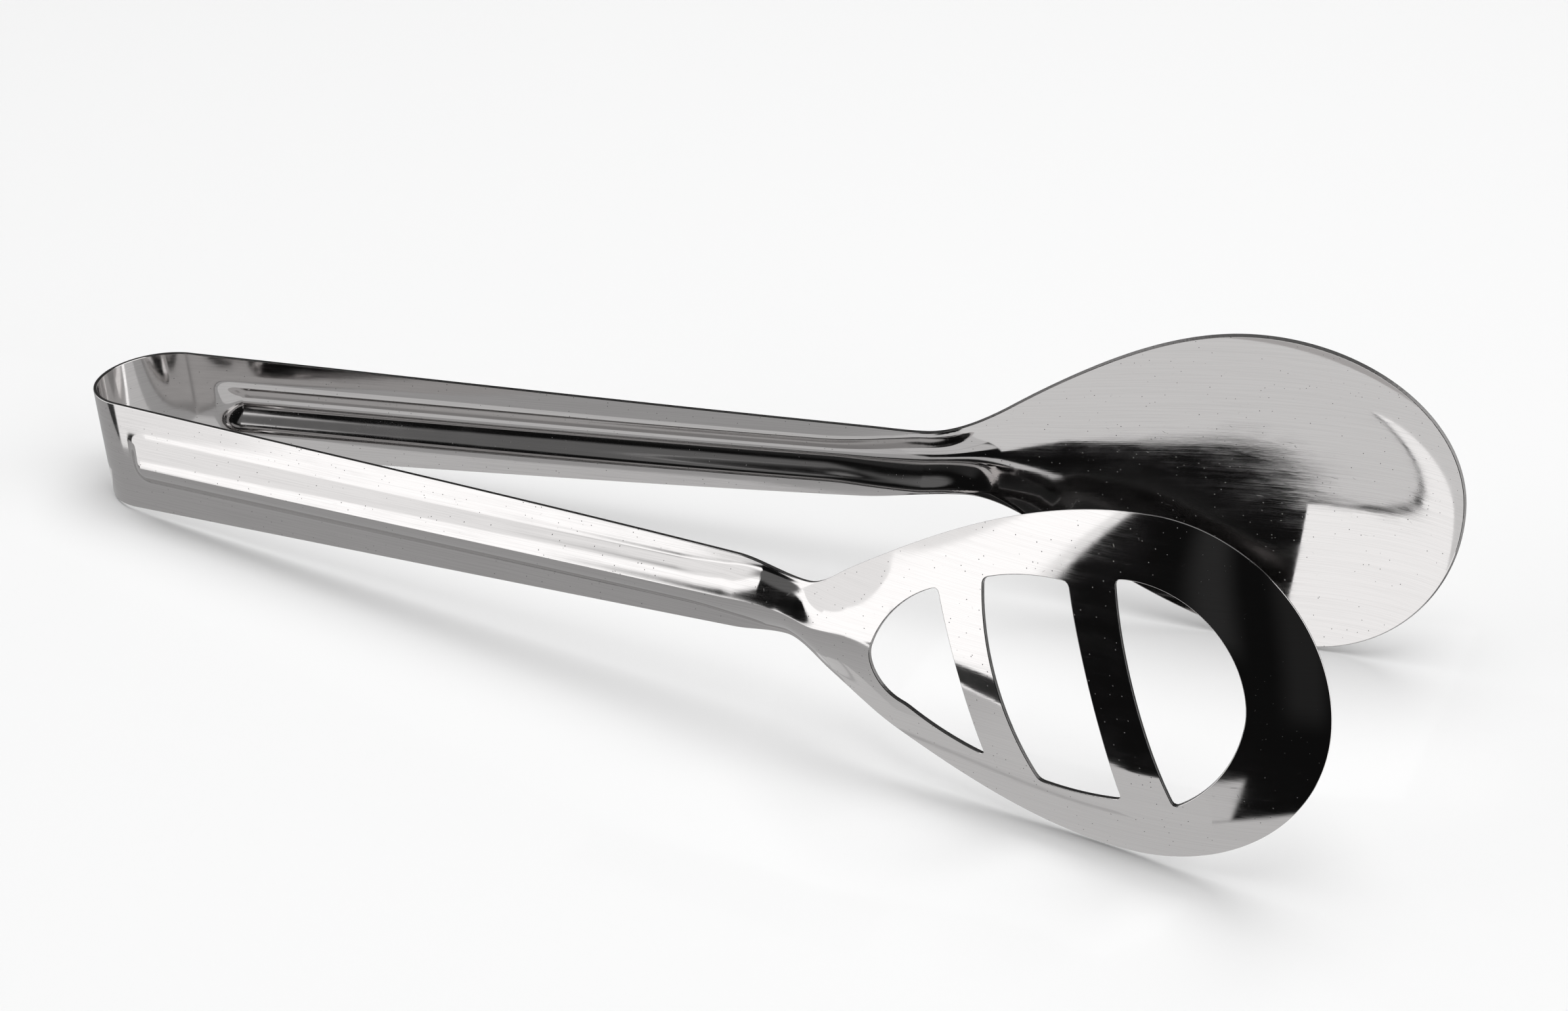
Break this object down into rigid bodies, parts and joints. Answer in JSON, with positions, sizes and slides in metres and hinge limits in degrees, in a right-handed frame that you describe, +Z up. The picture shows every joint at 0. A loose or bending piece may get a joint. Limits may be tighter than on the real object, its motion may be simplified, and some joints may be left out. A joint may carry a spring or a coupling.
{
  "type": "serving tongs",
  "caption": "One-piece steel serving tongs: a flat spring bow joins two ribbed arms, one ending in a solid dished bowl and the other in a dished slotted blade.",
  "frame": {"origin": "centre of the tongs' bounding box, on the surface they lie on", "axes": "+X from the spring bow to the heads, +Y towards the arm with the solid bowl, +Z up; the arms open and close about the bow's axis, which leans back 4.97 degrees from +Z because the wide heads hold the nose up"},
  "size_m": [0.2394, 0.0776, 0.0562],
  "materials": {
    "bow_steel": "polished stainless strip with fine lengthwise brushing, roughness about 0.07",
    "arm_steel": "polished stainless with fine lengthwise brushing and small pits, roughness about 0.08",
    "bowl_steel": "polished stainless, lightly brushed inside the dish, roughness about 0.07",
    "blade_steel": "mirror-polished stainless with fine lengthwise brushing, roughness about 0.06"
  },
  "bodies": {
    "bow": {"spring_bow": "bow_steel"},
    "bowl_side": {"bowl_arm": "arm_steel", "spoon_bowl": "bowl_steel"},
    "blade_side": {"blade_arm": "arm_steel", "slotted_blade": "blade_steel"}
  },
  "joints": [
    {"name": "bowl_side_squeeze", "type": "hinge", "parent": "bow", "child": "bowl_side", "pos_m": [-0.10747, -0.00048, 0.01134], "axis": [0.0866, 0, -0.9962], "range_deg": [0, 8.4], "stiffness_Nm_per_rad": 5},
    {"name": "blade_side_squeeze", "type": "hinge", "parent": "bow", "child": "blade_side", "pos_m": [-0.10747, -0.00048, 0.01134], "axis": [-0.0866, 0, 0.9962], "range_deg": [0, 8.4], "stiffness_Nm_per_rad": 5}
  ],
  "couplings": [
    {"joint": "blade_side_squeeze", "follows": "bowl_side_squeeze", "ratio": 1}
  ]
}
